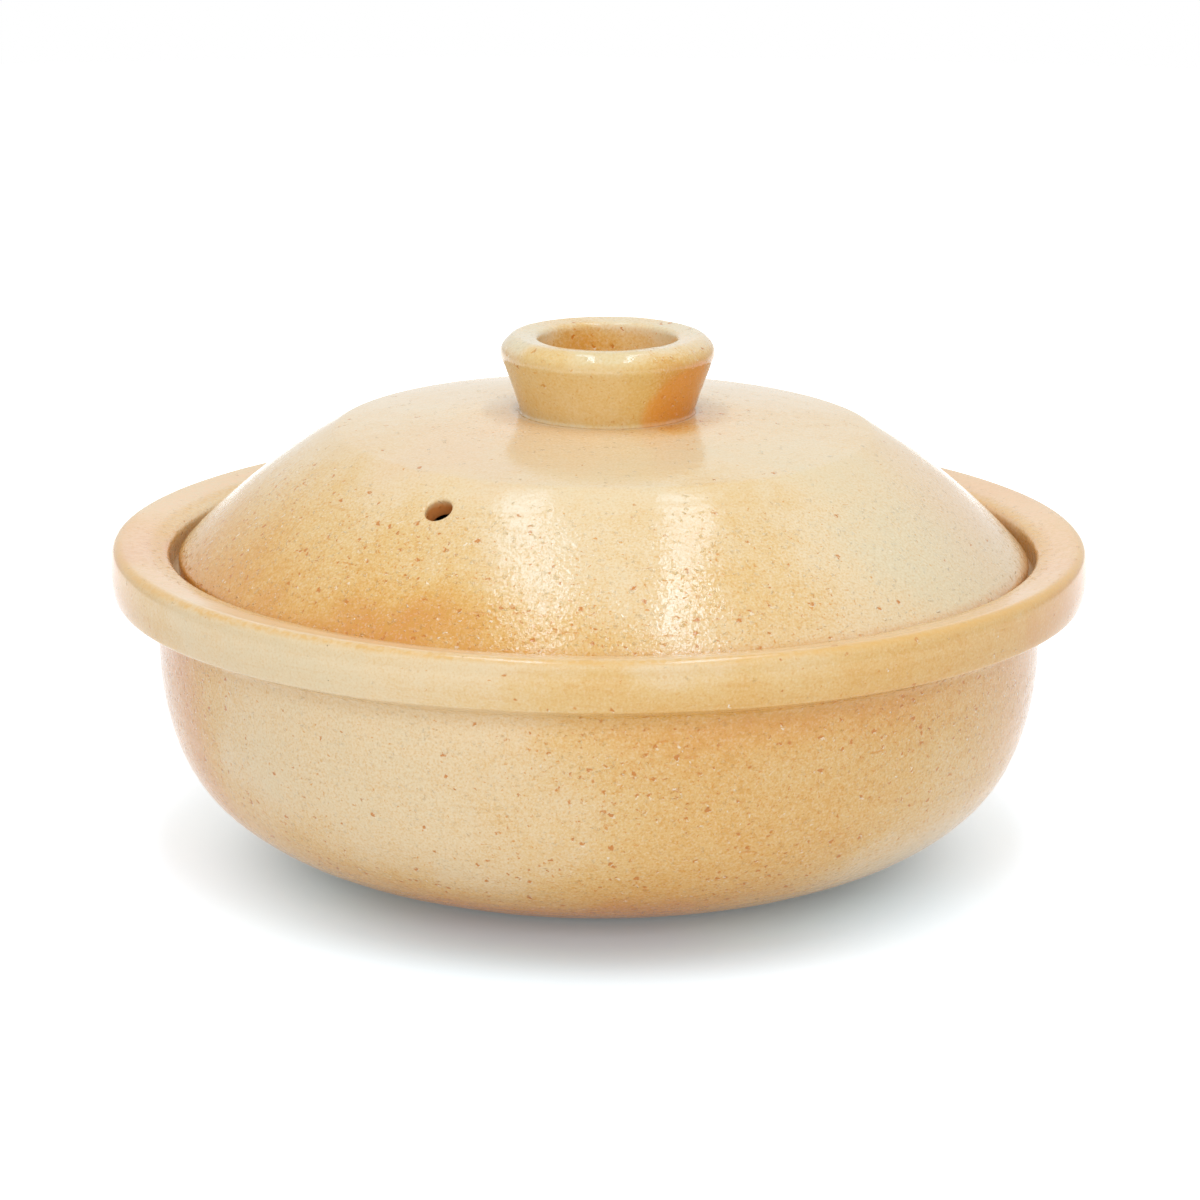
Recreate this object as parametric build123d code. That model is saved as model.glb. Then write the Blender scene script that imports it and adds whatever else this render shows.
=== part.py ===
# A lidded clay cooking pot: a low round bowl with a thick rim, a domed lid that sits on a ledge
# inside the rim, and a hollow ring knob on the lid.
#
# Millimetres, +Z up. The origin is the centre of the foot, on the surface that the pot stands on.
# Every piece is turned from an outline in radius and height, as it is thrown on a wheel.

import os

from build123d import *

# Bowl
body_diameter = 246.0       # outside of the upright wall under the rim
foot_diameter = 135.6       # flat ring that the pot stands on
foot_width = 9.8            # width of that ring
foot_depth = 1.5            # how deep the foot is trimmed out inside the ring
upright_height = 6.9        # straight wall between the belly's curve and the rim
wall = 8.0
floor_thickness = 8.5
floor_inset = 1.0           # how much smaller the flat of the floor is than the foot
belly_out_share = 0.64      # the belly's lower control point, outwards from foot to wall
belly_up_share = 0.145      # the same point, upwards from foot to upright wall
belly_turn_share = 0.327    # the upper control point's height, on the wall's line

# Rim
rim_diameter = 272.0
rim_height = 90.4           # the rim's outer corner, before it is rounded
rim_band = 14.5             # height of the rim's outer face, up to that corner
rim_bulge = 1.2             # how far that face swells out between its edges
rim_fall = 3.3              # how much the rim's top falls towards the mouth
rim_rise = 4.4              # how much its underside rises outwards from the wall
rim_brow_radius = 3.0       # rounding of that outer corner
rim_edge_radius = 1.3       # rounding of the outer face's lower edge
mouth_edge_radius = 2.2
rim_root_radius = 4.0       # hollow where the underside meets the wall
mouth_diameter = 243.2

# Ledge for the lid
ledge_drop = 11.0           # how far the ledge lies below the rim's outer corner
ledge_width = 10.1
ledge_thickness = 4.0
ledge_slope = 6.0           # height over which the ledge's underside runs back to the wall
ledge_edge_radius = 1.2

# Lid
lid_gap = 3.2               # radial gap between lid and mouth, all round
lid_shift = 1.3             # the lid lies this far to +X in that gap
lid_wall = 6.0
lid_edge_height = 5.8       # upright edge that stands on the ledge
flank_bulge = 2.3           # how far the flank swells out from a straight slope
shoulder_diameter = 149.0
shoulder_rise = 41.2        # height of the shoulder above the ledge
cap_rise = 4.9              # from the shoulder up to the flat land under the knob
land_margin = 1.6           # flat left around the knob's foot
lid_edge_radius = 2.4
lid_seat_radius = 0.8
shoulder_radius = 5.0

# Steam vent, pierced square to the flank
vent_diameter = 7.5
vent_lip_radius = 0.6
vent_bearing = 31.0         # degrees from -Y towards -X
vent_rise_share = 0.78      # its place along the flank, from the edge to the shoulder

# Knob
knob_foot_diameter = 49.0
knob_diameter = 60.8        # at the corner of side and bevel, before it is rounded
knob_height = 21.7
knob_waist = 0.4            # how far its side is drawn in between foot and widest line
knob_brow = 4.1             # height from its widest line to its top
knob_bevel = 4.2            # width of the bevel at its top edge
knob_hole_diameter = 38.8
knob_hole_taper = 2.2       # how much narrower the hollow is at its foot, in radius
knob_hole_drop = 0.9        # how far the ring's top falls to the hole
knob_hole_radius = 1.6
knob_brow_radius = 3.8
knob_shift = 0.7            # the knob was luted on this far to +X of the lid's centre

overrun = 5.0               # how far a cut runs past what it cuts

body_radius = body_diameter / 2
foot_radius = foot_diameter / 2
rim_radius = rim_diameter / 2
mouth_radius = mouth_diameter / 2
rim_bottom = rim_height - rim_band
ledge_height = rim_height - ledge_drop
lid_radius = mouth_radius - lid_gap
shoulder_height = ledge_height + shoulder_rise
cap_height = shoulder_height + cap_rise
land_radius = knob_foot_diameter / 2 + knob_shift + land_margin


def turned(face):
    """The solid that an outline in radius and height makes, turned once round the Z axis."""
    return revolve(Plane.XZ * face, Axis.Z)


def rounded(face, corners):
    """The face with each (point, radius) corner rounded."""
    for point, radius in corners:
        nearest = face.vertices().sort_by_distance(point)[0]
        face = fillet(nearest, radius)
    return face


def belly(start, end):
    """The bowl's curve from a flat bottom, out and up to an upright wall."""
    out = end[0] - start[0]
    up = end[1] - start[1]
    low_control = (start[0] + belly_out_share * out, start[1] + belly_up_share * up)
    high_control = (end[0], start[1] + belly_turn_share * up)
    return Bezier(start, low_control, high_control, end)


def make_pot():
    """Bowl, foot, rim and ledge: one piece of clay."""
    inner_radius = body_radius - wall
    ledge_radius = mouth_radius - ledge_width
    rim_edge = rim_radius - rim_bulge

    recess_middle = (0, foot_depth)
    recess_edge = (foot_radius - foot_width - foot_depth, foot_depth)
    foot_inner = (foot_radius - foot_width, 0)
    foot_outer = (foot_radius, 0)
    rim_root = (body_radius, rim_bottom - rim_rise)
    belly_top = (body_radius, rim_root[1] - upright_height)
    rim_low = (rim_edge, rim_bottom)
    rim_widest = (rim_radius, rim_bottom + rim_band / 2)
    rim_top = (rim_edge, rim_height)
    mouth_top = (mouth_radius, rim_height - rim_fall)
    ledge_outer = (mouth_radius, ledge_height)
    ledge_inner = (ledge_radius, ledge_height)
    ledge_low = (ledge_radius, ledge_height - ledge_thickness)
    wall_top = (inner_radius, ledge_low[1] - ledge_slope)
    floor_edge = (foot_radius - floor_inset, floor_thickness)
    floor_middle = (0, floor_thickness)

    outline = (
        Polyline(recess_middle, recess_edge, foot_inner, foot_outer)
        + belly(foot_outer, belly_top)
        + Polyline(belly_top, rim_root, rim_low)
        + ThreePointArc(rim_low, rim_widest, rim_top)
        + Polyline(rim_top, mouth_top, ledge_outer, ledge_inner, ledge_low, wall_top)
        + belly(floor_edge, wall_top)
        + Polyline(floor_edge, floor_middle, recess_middle)
    )
    face = rounded(
        make_face(outline),
        [
            (rim_root, rim_root_radius),
            (rim_low, rim_edge_radius),
            (rim_top, rim_brow_radius),
            (mouth_top, mouth_edge_radius),
            (ledge_outer, ledge_edge_radius),
            (ledge_inner, ledge_edge_radius),
            (ledge_low, ledge_edge_radius),
            (wall_top, rim_root_radius),
        ],
    )
    return turned(face)


def flank(start, end):
    """The lid's slope from its upright edge to its shoulder, a little fuller than straight."""
    along = (end - start).normalized()
    outwards = Vector(along.Y, -along.X)
    middle = (start + end) / 2
    return Bezier(start, middle + outwards * 2 * flank_bulge, end)


def inner_corner(corner, before, after):
    """A corner of the lid moved in by its wall; before and after are the outline's directions there."""
    across = Vector(before.Y, -before.X) + Vector(after.Y, -after.X)
    return corner - across * (2 * lid_wall / across.length**2)


def make_lid():
    """Dome of even thickness with a flat land under the knob and a steam vent in its flank."""
    seat = Vector(lid_radius, ledge_height)
    edge_top = Vector(lid_radius, ledge_height + lid_edge_height)
    shoulder = Vector(shoulder_diameter / 2, shoulder_height)
    land_edge = Vector(land_radius, cap_height)
    middle = Vector(0, cap_height)
    outer_flank = flank(edge_top, shoulder)
    upwards = Vector(0, 1)
    inwards = Vector(-1, 0)
    cap_slope = (land_edge - shoulder).normalized()

    inner_seat = seat + inwards * lid_wall
    inner_edge_top = inner_corner(edge_top, upwards, outer_flank % 0)
    inner_shoulder = inner_corner(shoulder, outer_flank % 1, cap_slope)
    inner_land_edge = inner_corner(land_edge, cap_slope, inwards)
    inner_middle = Vector(0, inner_land_edge.Y)
    outline = (
        Polyline(inner_seat, seat, edge_top)
        + outer_flank
        + Polyline(shoulder, land_edge, middle, inner_middle, inner_land_edge, inner_shoulder)
        + flank(inner_edge_top, inner_shoulder)
        + Line(inner_edge_top, inner_seat)
    )
    face = rounded(
        make_face(outline),
        [
            (inner_seat, lid_seat_radius),
            (seat, lid_seat_radius),
            (edge_top, lid_edge_radius),
            (shoulder, shoulder_radius),
        ],
    )
    dome = turned(face)

    spot = outer_flank @ vent_rise_share
    along = outer_flank % vent_rise_share
    vent_plane = Plane(origin=(spot.X, 0, spot.Y), z_dir=(along.Y, 0, -along.X))
    bore = Cylinder(vent_diameter / 2, 2 * (lid_wall + overrun))
    pierced = dome - Rotation(0, 0, -90 - vent_bearing) * (vent_plane * bore)
    lips = new_edges(dome, combined=pierced)
    return Pos(lid_shift, 0, 0) * fillet(lips, vent_lip_radius)


def make_knob():
    """Hollow ring that widens upwards from its foot, with a bevelled top and a deep hole."""
    foot_height = cap_height
    top = cap_height + knob_height
    widest_height = top - knob_brow
    foot_outer = (knob_foot_diameter / 2, foot_height)
    widest = (knob_diameter / 2, widest_height)
    waist = (
        (foot_outer[0] + widest[0]) / 2 - knob_waist,
        (foot_height + widest_height) / 2,
    )
    crest = (knob_diameter / 2 - knob_bevel, top)
    hole_top = (knob_hole_diameter / 2, top - knob_hole_drop)
    hole_foot = (knob_hole_diameter / 2 - knob_hole_taper, foot_height)

    outline = (
        ThreePointArc(foot_outer, waist, widest)
        + Polyline(widest, crest, hole_top, hole_foot, foot_outer)
    )
    face = rounded(
        make_face(outline),
        [
            (widest, knob_brow_radius),
            (crest, knob_brow_radius),
            (hole_top, knob_hole_radius),
        ],
    )
    return Pos(lid_shift + knob_shift, 0, 0) * turned(face)


os.makedirs("parts", exist_ok=True)
export_step(make_pot(), "parts/pot.step")
export_step(make_lid(), "parts/lid.step")
export_step(make_knob(), "parts/lid_knob.step")
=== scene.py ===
# Looks of the lidded clay pot: the thrown forms with their relief, and the glaze over gritty clay.
#
# Lengths are in millimetres and become metres where a mesh is made. The stage is in metres.
# Bearings run from the front (-Y) towards +X.

import math

import bpy
import numpy as np
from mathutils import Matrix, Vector, noise


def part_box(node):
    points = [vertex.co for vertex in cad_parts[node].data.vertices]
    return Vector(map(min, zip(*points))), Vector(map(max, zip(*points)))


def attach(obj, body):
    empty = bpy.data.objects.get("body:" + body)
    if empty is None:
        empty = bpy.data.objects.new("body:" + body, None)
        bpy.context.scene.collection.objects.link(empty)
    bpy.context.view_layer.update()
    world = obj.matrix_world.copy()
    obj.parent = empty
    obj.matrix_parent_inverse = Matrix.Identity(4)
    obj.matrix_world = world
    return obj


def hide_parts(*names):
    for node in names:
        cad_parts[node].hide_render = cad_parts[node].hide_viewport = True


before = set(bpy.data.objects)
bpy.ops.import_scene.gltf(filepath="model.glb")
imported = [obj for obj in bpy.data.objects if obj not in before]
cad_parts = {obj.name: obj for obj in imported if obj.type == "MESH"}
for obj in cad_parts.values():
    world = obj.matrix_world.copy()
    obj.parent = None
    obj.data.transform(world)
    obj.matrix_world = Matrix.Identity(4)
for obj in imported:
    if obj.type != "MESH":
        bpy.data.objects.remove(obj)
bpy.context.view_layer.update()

scene = bpy.context.scene

MM = 0.001

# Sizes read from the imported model
pot_low, pot_high = (np.array(corner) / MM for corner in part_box("pot"))
lid_low, lid_high = (np.array(corner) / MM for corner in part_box("lid"))
knob_low, knob_high = (np.array(corner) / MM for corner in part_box("lid_knob"))
RIM_RADIUS = (pot_high[0] - pot_low[0]) / 2
LID_CENTRE = (lid_high[0] + lid_low[0]) / 2
LID_RADIUS = (lid_high[0] - lid_low[0]) / 2
LEDGE = lid_low[2]
LAND = lid_high[2]
KNOB_CENTRE = (knob_high[0] + knob_low[0]) / 2

# Meshes
FINE_STEP = 0.1  # between the points that an outline is worked out with
FEWEST_POINTS = 12  # on the shortest part of an outline
BEND_TURN = 0.16  # radians between rows round a corner
SPACING_BLEND = 8  # fine points to each side over which a change of row spacing is spread
POT_COLUMNS = 660
LID_COLUMNS = 720
KNOB_COLUMNS = 420


# Outlines: parts are (points, row spacing, corner radius at the end, columns to a step)

def bezier(controls, spacing, corner=0.0, skip=1):
    """A part of an outline along a Bezier curve with two to four control points."""
    length = sum(math.dist(a, b) for a, b in zip(controls, controls[1:]))
    share = np.linspace(0, 1, max(FEWEST_POINTS, round(length / FINE_STEP)))[:, None]
    layers = [np.array(control, float)[None, :] for control in controls]
    while len(layers) > 1:
        layers = [a + (b - a) * share for a, b in zip(layers, layers[1:])]
    return layers[0], spacing, corner, skip


def bowed(start, end, bulge, spacing, corner=0.0, skip=1):
    """A part that swells out to its right by bulge from a straight run."""
    run = np.subtract(end, start)
    right = np.array([run[1], -run[0]]) / np.hypot(*run)
    middle = np.add(start, end) / 2
    return bezier([start, middle + right * 2 * bulge, end], spacing, corner, skip)


def distances(points):
    """How far along a line of points each one lies."""
    return np.concatenate([[0], np.cumsum(np.hypot(*np.diff(points, axis=0).T))])


def cut(points, start, end):
    """The line of points without that length at its start and at its end."""
    along = distances(points)
    kept = np.linspace(start, along[-1] - end, len(points))
    return np.stack([np.interp(kept, along, points[:, i]) for i in (0, 1)], 1)


def direction(points, at_end):
    """The unit direction in which a line of points starts or ends."""
    step = points[-1] - points[-2] if at_end else points[1] - points[0]
    return step / np.hypot(*step)


def bend(start, start_way, end, end_way, radius):
    """Points of the arc between two directions."""
    turn = math.acos(np.clip(start_way @ end_way, -1, 1))
    handle = 4 / 3 * math.tan(turn / 4) * radius
    return bezier([start, start + start_way * handle, end - end_way * handle, end], 1)[0]


def joined(parts):
    """Outline points with the row spacing and column step at each, its corners rounded."""
    cuts = []
    for (before, _, corner, _), (after, _, _, _) in zip(parts, parts[1:]):
        way = direction(before, True) @ direction(after, False)
        cuts.append(corner * math.tan(math.acos(np.clip(way, -1, 1)) / 2))
    points, spacings, skips = [], [], []
    for i, (line, spacing, corner, skip) in enumerate(parts):
        start = cuts[i - 1] if i else 0
        end = cuts[i] if i < len(cuts) else 0
        line = cut(line, start, end)
        if start:
            arc = bend(
                points[-1][-1], direction(points[-1], True),
                line[0], direction(line, False), parts[i - 1][2],
            )
            points.append(arc[1:-1])
            spacings.append(np.full(len(arc) - 2, min(spacing, parts[i - 1][2] * BEND_TURN)))
            skips.append(np.full(len(arc) - 2, skip))
        elif i:
            line = line[1:]
        points.append(line)
        spacings.append(np.full(len(line), spacing))
        skips.append(np.full(len(line), skip))
    return np.concatenate(points), np.concatenate(spacings), np.concatenate(skips)


class Outline:
    """Half of a turned piece's cut face, walked with the clay on the left."""

    def __init__(self, parts):
        points, spacing, self.skip = joined(parts)
        self.points = points
        self.along = distances(points)
        way = np.gradient(points, self.along, axis=0)
        way /= np.hypot(*way.T)[:, None]
        self.normals = np.stack([way[:, 1], -way[:, 0]], 1)
        blend = np.ones(2 * SPACING_BLEND + 1)
        smooth = np.convolve(np.pad(spacing, SPACING_BLEND, "edge"), blend / len(blend), "valid")
        density = 1 / smooth
        steps = np.diff(self.along) * (density[1:] + density[:-1]) / 2
        total = np.concatenate([[0], np.cumsum(steps)])
        self.rows = np.interp(np.linspace(0, total[-1], round(total[-1]) + 1), total, self.along)

    def at(self, along):
        """Radius, height and outward normal at a distance along the outline."""
        columns = (*self.points.T, *self.normals.T)
        return [np.interp(along, self.along, column) for column in columns]

    def skip_at(self, along):
        return int(self.skip[np.searchsorted(self.along, along).clip(0, len(self.skip) - 1)])

    def nearest(self, radius, height, window):
        """Distance along the outline of its nearest point, looked for inside a window of distances."""
        inside = (self.along >= window[0]) & (self.along <= window[1])
        gaps = np.hypot(*(self.points[inside] - [radius, height]).T)
        return self.along[inside][gaps.argmin()]


# Turned meshes

def field(places, height, size, octaves=1):
    """Smooth noise up to about that height, up and down, whose blotches are about that size."""
    scaled = (places / size).reshape(-1, 3)
    if octaves == 1:
        values = [noise.noise(place) for place in scaled]
    else:
        values = [noise.fractal(place, 1.0, 2.0, octaves) for place in scaled]
    return height * np.array(values).reshape(places.shape[:-1])


def fade(value, low, high):
    """0 below low, 1 above high and a smooth rise between them."""
    share = np.clip((value - low) / (high - low), 0, 1)
    return share * share * (3 - 2 * share)


def placed(name, data):
    """A new object of that data, in the scene."""
    made = bpy.data.objects.new(name, data)
    scene.collection.objects.link(made)
    return made


def placed_mesh(name, points, faces, material):
    mesh = bpy.data.meshes.new(name)
    mesh.from_pydata(points, [], faces)
    mesh.materials.append(material)
    return placed(name, mesh)


LEAN_STARTS = (0.5, 6)  # heights above a piece's bottom between which a lean sets in
LEAN_RADII = (26, 60)  # and radii, so that what the knob stands on stays level


class Turned:
    """A piece thrown on the wheel: an outline turned about an upright axis, with its relief."""

    def __init__(self, name, outline, centre, columns, relief, lean=0.0, narrowing=None):
        self.name = name
        self.outline = outline
        self.centre = centre
        self.columns = columns
        self.relief = relief
        self.lean = lean
        self.narrowing = narrowing
        self.places = []
        self.faces = []
        self.count = 0

    def surface(self, along, bearing):
        """Points on the finished surface."""
        along, bearing = np.broadcast_arrays(along, bearing)
        radius, height, out, up = self.outline.at(along)
        if self.narrowing:
            radius = radius - self.narrowing(along, bearing)
        bottom = self.outline.points[:, 1].min()
        free = fade(height - bottom, *LEAN_STARTS) * fade(radius, *LEAN_RADII)

        def moved(push):
            r = radius + out * push
            x = r * np.sin(bearing)
            z = height + up * push - math.tan(self.lean) * free * x
            return np.stack([self.centre + x, -r * np.cos(bearing), z], -1)

        return moved(self.relief(along, radius, height, moved(0)))

    def add(self, places):
        """Adds points and gives their numbers."""
        places = np.atleast_2d(places)
        self.places.append(places)
        self.count += len(places)
        return np.arange(self.count - len(places), self.count)

    def strip(self, ring, following, hidden=()):
        """Four-sided faces between two rings with as many points."""
        near, far = np.roll(ring, -1), np.roll(following, -1)
        quads = np.stack([ring, near, far, following], 1)
        keep = np.ones(len(ring), bool)
        keep[list(hidden)] = False
        self.faces += quads[keep].tolist()

    def bridge(self, ring, angles, following, following_angles):
        """Triangles between two rings whose numbers of points differ, matched by angle."""
        def opened(points, at):
            order = np.argsort(at % math.tau)
            points, at = points[order], (at % math.tau)[order]
            return np.append(points, points[0]), np.append(at, at[0] + math.tau)

        ring, angles = opened(ring, angles)
        following, following_angles = opened(following, following_angles)
        i = j = 0
        while i < len(ring) - 1 or j < len(following) - 1:
            if j == len(following) - 1 or (
                i < len(ring) - 1 and angles[i + 1] <= following_angles[j + 1]
            ):
                self.faces.append([ring[i], ring[i + 1], following[j]])
                i += 1
            else:
                self.faces.append([ring[i], following[j + 1], following[j]])
                j += 1

    def fan(self, ring, middle, closing):
        """Triangles that close a ring on the axis."""
        for a, b in zip(ring, np.roll(ring, -1)):
            self.faces.append([a, b, middle] if closing else [middle, b, a])

    def turn(self, loop=False, holes=()):
        """Makes the rows of faces; holes are (rows, columns) blocks of cells left out."""
        rings = []
        bearings = []
        for along in self.outline.rows[:-1] if loop else self.outline.rows:
            skip = self.outline.skip_at(along)
            bearing = np.arange(0, self.columns, skip) * math.tau / self.columns
            on_axis = self.outline.at(along)[0] < FINE_STEP
            places = self.surface(along, bearing)
            rings.append(self.add(places[:1] if on_axis else places))
            bearings.append(bearing)
        pairs = list(zip(range(len(rings)), range(1, len(rings))))
        if loop:
            pairs.append((len(rings) - 1, 0))
        for i, j in pairs:
            ring, following = rings[i], rings[j]
            hidden = [
                c for rows, columns in holes for c in range(*columns)
                if rows[0] <= i < rows[1]
            ]
            if len(ring) == 1:
                self.fan(following, ring[0], False)
            elif len(following) == 1:
                self.fan(ring, following[0], True)
            elif len(ring) == len(following):
                self.strip(ring, following, hidden)
            else:
                self.bridge(ring, bearings[i], following, bearings[j])
        return rings

    def finish(self, material, body, node):
        """Makes the Blender object, without the points that no face uses."""
        used = sorted({point for face in self.faces for point in face})
        number = {old: new for new, old in enumerate(used)}
        places = np.concatenate(self.places)[used] * MM
        faces = [[number[point] for point in face] for face in self.faces]
        piece = placed_mesh(self.name, places.tolist(), faces, material)
        piece.data.shade_smooth()
        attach(piece, body)
        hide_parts(node)


# Reliefs; a layer of one is (height, size of the blotches, octaves of the noise)

FLATTENED = np.array([1, 1, 0.7])  # swells are longer up the piece than round the wheel
RING_SHIFT = 2.2  # radians that the drift shifts the throwing rings' wave


# Pot

BODY_RADIUS = 123.0
FOOT_RADIUS = 67.8
FOOT_INNER = 58.0  # where the flat ring of the foot ends inwards
FOOT_DEPTH = 1.5  # how deep the foot is trimmed out inside that ring
BELLY_TOP = 64.6
RIM_ROOT = 71.5  # where the rim's underside leaves the wall
RIM_BULGE = 1.2
RIM_EDGE = RIM_RADIUS - RIM_BULGE
RIM_LOW = 75.9
RIM_TOP = 90.4  # the outer corner, before it is rounded
MOUTH = 121.6
MOUTH_TOP = 87.6
LEDGE_INNER = 111.5
LEDGE_LOW = 75.4
INNER_RADIUS = 115.0
INNER_TOP = 69.4  # where the inside's curve meets the ledge's underside
FLOOR_EDGE = 66.8
FLOOR = 8.5
BELLY_OUT, BELLY_UP, BELLY_TURN = 0.64, 0.145, 0.327


def belly(start, end):
    """Control points of the bowl's curve from a flat bottom to an upright wall."""
    out, up = np.subtract(end, start)
    low = (start[0] + BELLY_OUT * out, start[1] + BELLY_UP * up)
    high = (end[0], start[1] + BELLY_TURN * up)
    return [start, low, high, end]


def pot_parts():
    """The pot's outline from the middle of its foot round the outside to the middle of its floor."""
    foot_middle = (0, FOOT_DEPTH)
    recess_edge = (FOOT_INNER - FOOT_DEPTH, FOOT_DEPTH)
    foot_inner = (FOOT_INNER, 0)
    foot_outer = (FOOT_RADIUS, 0)
    belly_top = (BODY_RADIUS, BELLY_TOP)
    rim_root = (BODY_RADIUS, RIM_ROOT)
    rim_low = (RIM_EDGE, RIM_LOW)
    rim_top = (RIM_EDGE, RIM_TOP)
    mouth_top = (MOUTH, MOUTH_TOP)
    ledge_outer = (MOUTH, LEDGE)
    ledge_inner = (LEDGE_INNER, LEDGE)
    ledge_low = (LEDGE_INNER, LEDGE_LOW)
    inner_top = (INNER_RADIUS, INNER_TOP)
    floor_edge = (FLOOR_EDGE, FLOOR)
    return [
        bezier([foot_middle, recess_edge], 7, corner=0.5, skip=2),
        bezier([recess_edge, foot_inner], 1.0, corner=0.4, skip=2),
        bezier([foot_inner, foot_outer], 1.6, corner=0.9, skip=2),
        bezier(belly(foot_outer, belly_top), 1.25),
        bezier([belly_top, rim_root], 1.2, corner=4.0),
        bezier([rim_root, rim_low], 1.2, corner=1.5),
        bowed(rim_low, rim_top, RIM_BULGE, 1.1, corner=3.2),
        bezier([rim_top, mouth_top], 1.1, corner=2.4),
        bezier([mouth_top, ledge_outer], 1.3, corner=1.2, skip=2),
        bezier([ledge_outer, ledge_inner], 1.6, corner=1.2, skip=2),
        bezier([ledge_inner, ledge_low], 1.4, corner=1.2, skip=2),
        bezier([ledge_low, inner_top], 1.8, corner=4.0, skip=2),
        bezier(belly(floor_edge, inner_top)[::-1], 2.6, skip=2),
        bezier([floor_edge, (0, FLOOR)], 5, skip=2),
    ]


pot_outline = Outline(pot_parts())
RIM_WINDOW = (120, 200)  # distances along the outline between which rim and mouth lie
MOUTH_IN = 1.1  # how much narrower the mouth was thrown than the outline has it
MOUTH_OFF = 0.85  # how far its middle lies towards +X
MOUTH_TURN = [pot_outline.nearest(MOUTH + past, MOUTH_TOP, RIM_WINDOW) for past in (9.0, 0.5)]
RIM_TO_INSIDE = [pot_outline.nearest(MOUTH, height, RIM_WINDOW) for height in (84, LEDGE)]
POT_WOBBLE = (0.28, 95)
POT_DENTS = (0.10, 24)
POT_GRIT = (0.045, 4.5, 2)
POT_DRIFT = (1, 45)  # how the throwing rings come and go
POT_FULLER = 0.6  # how far the belly swells out at most
FULLER_FROM = (4, 30)  # heights over which that sets in
FULLER_TO = (50, 69)  # and over which it fades out
RIM_SMOOTH = (122.5, 126)  # radii over which the grit and rings grow fainter towards the rim
POT_RING_HEIGHT = 0.015
OUTER_RING = 0.62  # millimetres to each radian of the throwing rings' wave
INNER_RING = 0.87
INNER_RISE = 1.5  # how much more the rings rise inside, as a share
RIM_CALM = 0.75  # the share of grit and rings that the rim lacks
POT_FREE = (0.2, 4)  # heights over which the relief sets in above the foot
LEDGE_REACH = 3  # how far from the ledge's height the relief is held back


def pot_relief(along, radius, height, places):
    """Millimetres that the pot's surface stands out by."""
    inside = fade(along, *RIM_TO_INSIDE)
    rim = fade(radius, *RIM_SMOOTH)
    on_ledge = fade(MOUTH - radius, -1, 0.2) * fade(LEDGE_REACH - abs(height - LEDGE), 0, 2)
    free = fade(height, *POT_FREE) * (1 - on_ledge)
    wobble = field(places * FLATTENED, *POT_WOBBLE)
    dents = field(places, *POT_DENTS)
    grit = field(places, *POT_GRIT)
    drift = field(places, *POT_DRIFT)
    wave = np.sin(along / (OUTER_RING + (INNER_RING - OUTER_RING) * inside) + RING_SHIFT * drift)
    rings = POT_RING_HEIGHT * wave * fade(drift, -0.6, 0.5)
    fuller = POT_FULLER * (1 - inside) * fade(height, *FULLER_FROM) * (1 - fade(height, *FULLER_TO))
    texture = (1 - RIM_CALM * rim) * (grit + rings * (1 + INNER_RISE * inside))
    return free * (wobble + dents + fuller + texture)


def mouth_narrowing(along, bearing):
    """Millimetres that the mouth was thrown narrower by, fading out across the rim's top."""
    inside = fade(along, *RIM_TO_INSIDE)
    return fade(along, *MOUTH_TURN) * (1 - inside) * (MOUTH_IN - MOUTH_OFF * np.sin(bearing))


# Lid

LID_WALL = 6.0
LID_LEAN = math.radians(0.33)  # how much the thrown dome leans down towards +X
LID_EDGE = (LID_RADIUS, 85.2)
SHOULDER = (74.5, 120.6)
LAND_RADIUS = 27.0
INNER_EDGE = (112.4, 82.9)
INNER_SHOULDER = (72.6, 114.8)
INNER_LAND = (26.5, LAND - LID_WALL)
FLANK_BULGE = 2.3
CAP_BULGE = 0.55


def lid_parts():
    """The lid's outline from the middle of its underside round its seat to the middle of its top."""
    land_edge = (LAND_RADIUS, LAND)
    seat_inner = (INNER_EDGE[0], LEDGE)
    seat_outer = (LID_RADIUS, LEDGE)
    return [
        bezier([(0, INNER_LAND[1]), INNER_LAND], 5, skip=2),
        bezier([INNER_LAND, INNER_SHOULDER], 2.6, corner=4.0, skip=2),
        bowed(INNER_SHOULDER, INNER_EDGE, -FLANK_BULGE, 2.2, corner=2.0, skip=2),
        bezier([INNER_EDGE, seat_inner], 1.2, corner=0.8, skip=2),
        bezier([seat_inner, seat_outer], 1.4, corner=0.8, skip=2),
        bezier([seat_outer, LID_EDGE], 0.9, corner=2.4),
        bowed(LID_EDGE, SHOULDER, FLANK_BULGE, 1.05, corner=4.5),
        bowed(SHOULDER, land_edge, CAP_BULGE, 1.1, corner=2.0),
        bezier([land_edge, (0, LAND)], 1.5, skip=2),
    ]


lid_outline = Outline(lid_parts())
UNDERSIDE = (0, 140)  # distances along the outline between which the underside lies
TOP_SIDE = (125, 400)  # and the side that is seen
INNER_FLANK = [lid_outline.nearest(*spot, UNDERSIDE) for spot in (INNER_SHOULDER, INNER_EDGE)]
OUTER_FLANK = [lid_outline.nearest(*spot, TOP_SIDE) for spot in (LID_EDGE, SHOULDER)]
LID_WOBBLE = (0.30, 85)
LID_DENTS = (0.10, 20)
LID_GRIT = (0.022, 4.2, 2)
LID_DRIFT = (1, 38)
LID_RING_HEIGHT = 0.02
LID_RING = 0.66
LID_FREE = (0.3, 5)  # heights above the ledge over which the relief sets in
LAND_EDGE = (24, 32)  # radii over which it sets in round the knob
CAP_EDGE = (70, 80)  # radii over which the cap's calmer grit and rings end
CAP_CALM = 0.6  # the share of them that the cap lacks


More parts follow.
